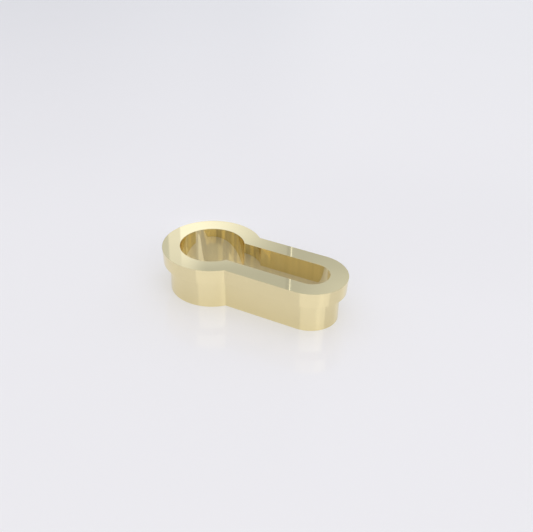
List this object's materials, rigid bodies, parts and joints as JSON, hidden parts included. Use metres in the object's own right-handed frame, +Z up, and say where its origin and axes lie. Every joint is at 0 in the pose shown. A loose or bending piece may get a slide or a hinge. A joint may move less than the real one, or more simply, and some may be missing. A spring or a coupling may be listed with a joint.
{
  "type": "keyhole escutcheon",
  "caption": "One-piece polished brass keyhole liner: a flanged ring of keyhole outline with a narrower sleeve below that is pressed into a drawer front or cabinet door.",
  "frame": {"origin": "on the axis of the keyhole's round head, in the plane of the foot", "axes": "+Z up out of the wood, from the foot to the flange's top face; +X down the slot, away from the round head"},
  "size_m": [0.0242, 0.0124, 0.0057],
  "materials": {
    "polished_brass": "polished"
  },
  "bodies": {
    "root": {"keyhole_escutcheon": "polished_brass"}
  },
  "joints": []
}
